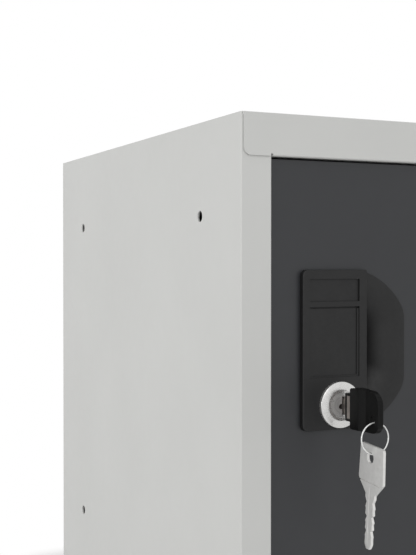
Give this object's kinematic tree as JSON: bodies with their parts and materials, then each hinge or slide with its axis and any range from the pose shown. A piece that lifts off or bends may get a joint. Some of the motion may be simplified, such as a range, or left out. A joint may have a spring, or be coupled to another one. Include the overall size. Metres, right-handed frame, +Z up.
{
  "type": "phone locker box",
  "caption": "Sheet-steel cube locker with a hinged, key-locked door, a moulded handle with a finger scoop, and a shelf with upright dividers for phones.",
  "frame": {"origin": "centre of the base, on the surface the locker stands on", "axes": "+Z up, the door faces -Y, +X to the right seen from the front"},
  "size_m": [0.3, 0.3418, 0.3],
  "materials": {
    "grey_coat": "fine satin powder coat, light grey",
    "graphite_coat": "fine satin powder coat, graphite grey",
    "black_plastic": "fine-grained moulded black",
    "lock_chrome": "satin plated die casting",
    "zinc_steel": "bright zinc plate",
    "key_nickel": "nickel plate with fine scratches",
    "rubber": "matt",
    "nylon": "natural nylon"
  },
  "bodies": {
    "cabinet": {"left_side_panel": "grey_coat", "right_side_panel": "grey_coat", "top_panel": "grey_coat", "bottom_panel": "grey_coat", "back_panel": "grey_coat", "back_rivets": "zinc_steel", "shelf": "grey_coat", "left_shelf_bracket": "grey_coat", "right_shelf_bracket": "grey_coat", "upper_dividers": "grey_coat", "lower_dividers": "grey_coat", "upper_hinge_pin": "zinc_steel", "lower_hinge_pin": "zinc_steel", "door_bumpers": "rubber"},
    "door": {"door_panel": "graphite_coat", "door_stiffener": "graphite_coat", "upper_hinge_block": "nylon", "lower_hinge_block": "nylon", "door_handle": "black_plastic", "handle_screws": "zinc_steel", "lock_housing": "lock_chrome", "lock_nut": "zinc_steel"},
    "lock_plug": {"lock_plug": "lock_chrome", "lock_cam": "zinc_steel", "cam_washer": "zinc_steel", "cam_screw": "zinc_steel"},
    "key": {"key_blade": "key_nickel", "key_head": "black_plastic"},
    "ring": {"key_ring": "key_nickel"},
    "spare_key": {"spare_key": "key_nickel"}
  },
  "joints": [
    {"name": "door_hinge", "type": "hinge", "parent": "cabinet", "child": "door", "pos_m": [0.128, -0.143, 0.15], "axis": [0, 0, 1], "range_deg": [0, 100]},
    {"name": "lock_turn", "type": "hinge", "parent": "door", "child": "lock_plug", "pos_m": [-0.0934, -0.14, 0.152], "axis": [0, 1, 0], "range_deg": [0, 90]},
    {"name": "key_pull", "type": "slide", "parent": "lock_plug", "child": "key", "axis": [0, -1, 0], "range_m": [0, 0.026]},
    {"name": "ring_swing", "type": "hinge", "parent": "key", "child": "ring", "pos_m": [-0.0915, -0.1794, 0.14775], "axis": [1, 0, 0], "range_deg": [-75, 12]},
    {"name": "spare_key_swing", "type": "hinge", "parent": "ring", "child": "spare_key", "pos_m": [-0.0935, -0.1794, 0.12941], "axis": [1, 0, 0], "range_deg": [-35, 12]}
  ]
}
